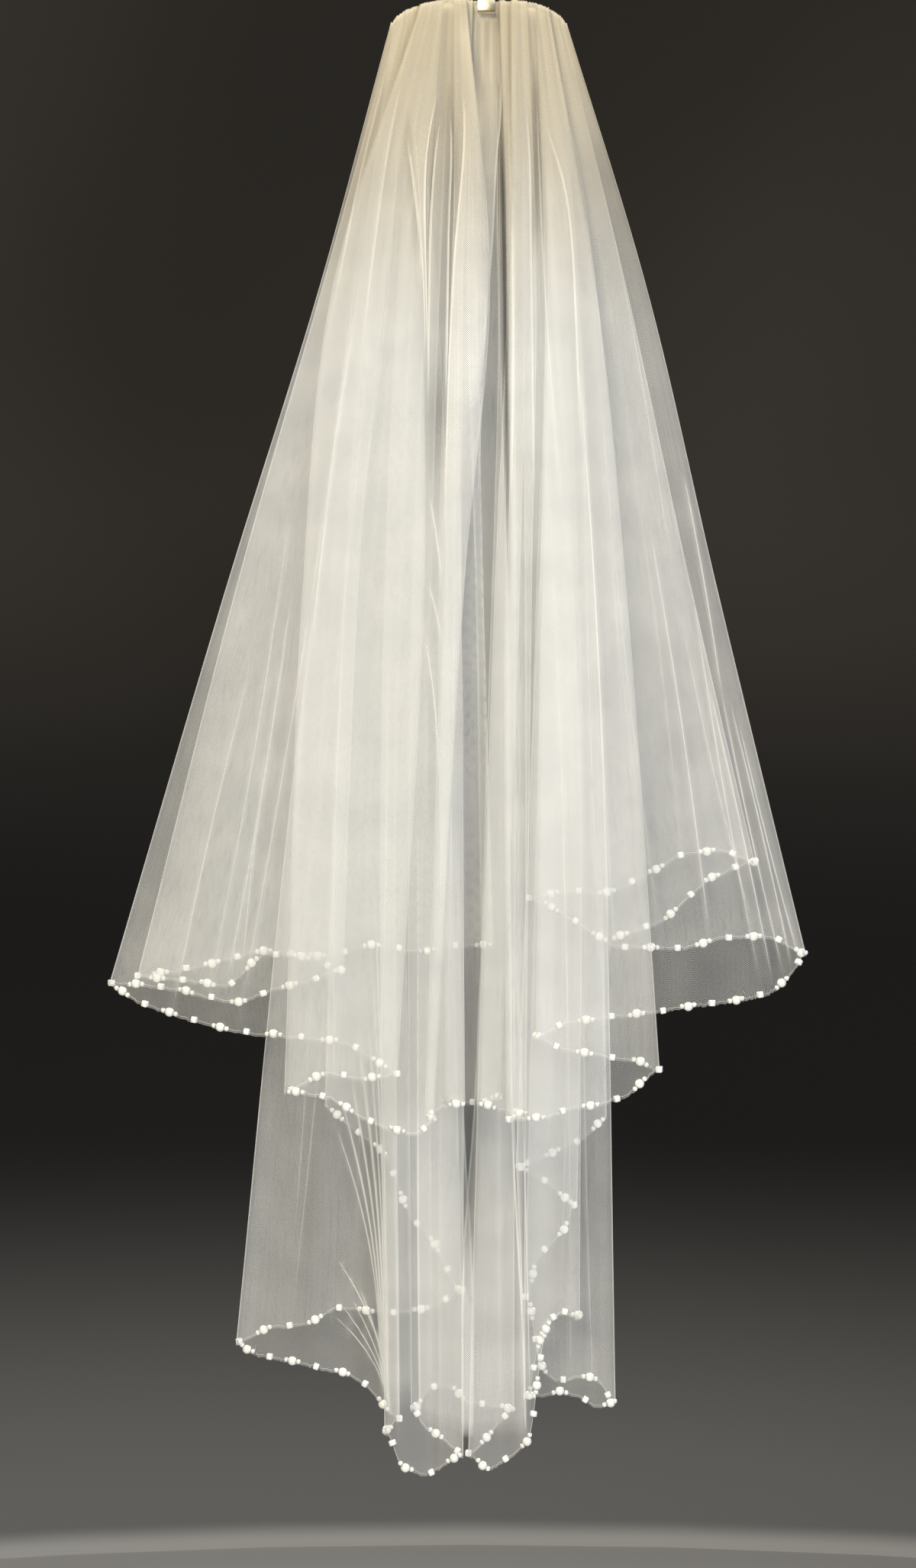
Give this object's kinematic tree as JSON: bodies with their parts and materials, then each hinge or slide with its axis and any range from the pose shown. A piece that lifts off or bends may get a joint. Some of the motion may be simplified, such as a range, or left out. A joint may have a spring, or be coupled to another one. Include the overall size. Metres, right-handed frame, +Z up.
{
  "type": "two-tier tulle veil on a hanging clip",
  "caption": "Tiered tulle bridal veil with pearl-beaded hems, gathered on a hair comb and hanging in soft folds from a spring clip with a hole for a hook.",
  "frame": {"origin": "top of the hole in the clip's tab, where a hook or nail holds the veil", "axes": "+Z up, +X to the right seen from the front, -Y towards the viewer of the veil's outer side"},
  "size_m": [0.4254, 0.121, 0.9256],
  "materials": {
    "tulle": "sheer ivory net with a soft sheen",
    "comb_plastic": "clear frosted plastic",
    "clip_steel": "pale gold plated spring steel",
    "pearl": "ivory pearl lustre",
    "thread": "fine ivory thread"
  },
  "bodies": {
    "root": {"upper_tier": "tulle", "lower_tier": "tulle", "comb": "comb_plastic", "clip": "clip_steel"}
  },
  "joints": []
}
